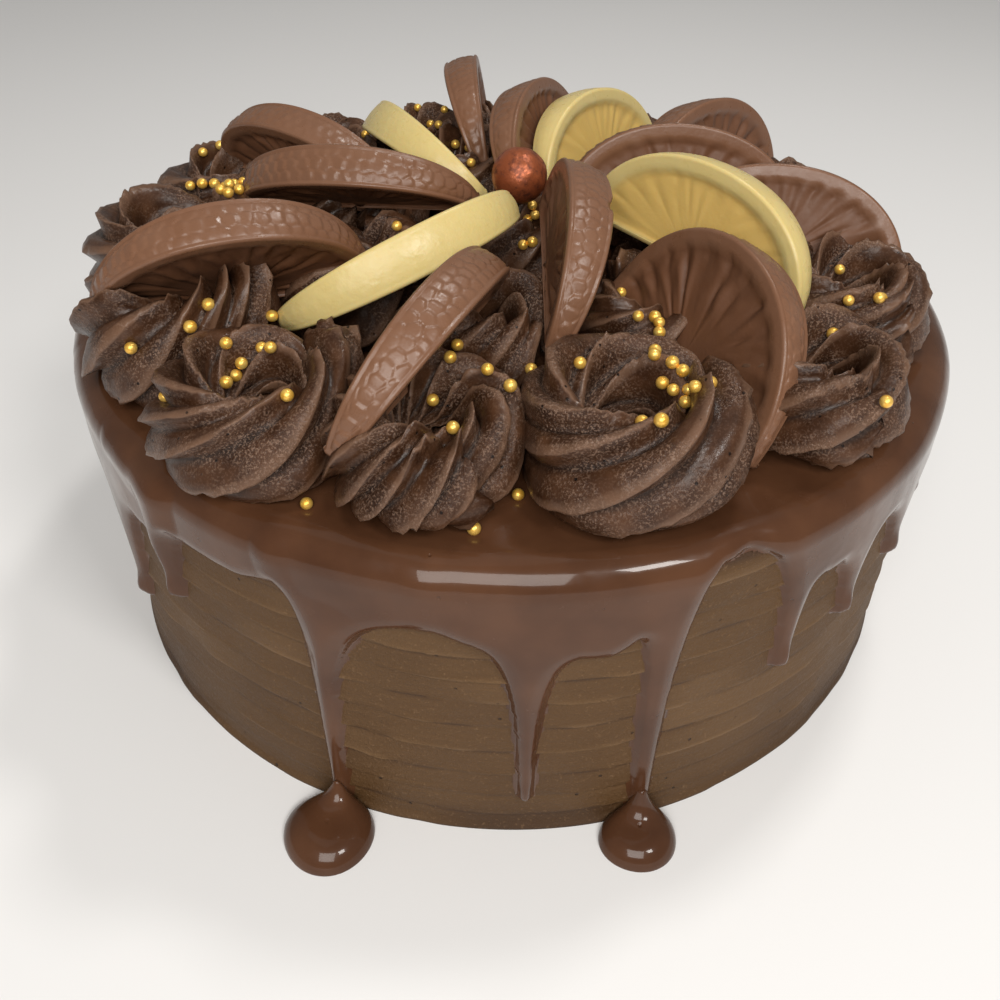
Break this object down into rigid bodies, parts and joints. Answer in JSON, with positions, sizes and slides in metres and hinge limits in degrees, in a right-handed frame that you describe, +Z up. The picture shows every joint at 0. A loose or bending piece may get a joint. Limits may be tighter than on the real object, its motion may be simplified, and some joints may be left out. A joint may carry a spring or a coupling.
{
  "type": "chocolate cake",
  "caption": "Round chocolate layer cake with poured ganache and drips, a crown of piped rosettes, fanned chocolate orange segments, a copper ball and gold pearls",
  "frame": {"origin": "centre of the cake's round underside, on the surface that it stands on", "axes": "+Z up; -Y is the side that the picture shows, with the two pools; +X is to the right seen from there"},
  "size_m": [0.221, 0.229, 0.1228],
  "materials": {
    "buttercream": "matte chocolate buttercream scraped smooth in level bands, with small pits",
    "ganache": "glossy dark chocolate ganache, satin where it has set on the side",
    "piped_rosette": "dark chocolate buttercream, grainy with a moist sparkle",
    "milk_chocolate": "semi-gloss moulded milk chocolate with a peel texture",
    "white_chocolate": "semi-gloss moulded white chocolate, pale yellow",
    "copper_ball": "copper lustre dusted over a chocolate ball, mottled",
    "gold_pearl": "satin gold sugar pearls"
  },
  "bodies": {
    "root": {"cake_body": "buttercream", "ganache": "ganache", "pool_1": "ganache", "pool_2": "ganache", "rosette_1": "piped_rosette", "rosette_2": "piped_rosette", "rosette_3": "piped_rosette", "rosette_4": "piped_rosette", "rosette_5": "piped_rosette", "rosette_6": "piped_rosette", "rosette_7": "piped_rosette", "rosette_8": "piped_rosette", "rosette_9": "piped_rosette", "rosette_10": "piped_rosette", "rosette_11": "piped_rosette", "rosette_12": "piped_rosette", "rosette_13": "piped_rosette", "rosette_14": "piped_rosette", "rosette_15": "piped_rosette", "inner_rosette_1": "piped_rosette", "inner_rosette_2": "piped_rosette", "inner_rosette_3": "piped_rosette", "inner_rosette_4": "piped_rosette", "inner_rosette_5": "piped_rosette", "inner_rosette_6": "piped_rosette", "inner_rosette_7": "piped_rosette", "middle_rosette": "piped_rosette", "milk_segment_1": "milk_chocolate", "milk_segment_2": "milk_chocolate", "milk_segment_3": "milk_chocolate", "milk_segment_4": "milk_chocolate", "milk_segment_5": "milk_chocolate", "milk_segment_6": "milk_chocolate", "milk_segment_7": "milk_chocolate", "milk_segment_8": "milk_chocolate", "milk_segment_9": "milk_chocolate", "milk_segment_10": "milk_chocolate", "milk_segment_11": "milk_chocolate", "white_segment_1": "white_chocolate", "white_segment_2": "white_chocolate", "white_segment_3": "white_chocolate", "white_segment_4": "white_chocolate", "ball": "copper_ball"}
  },
  "joints": []
}
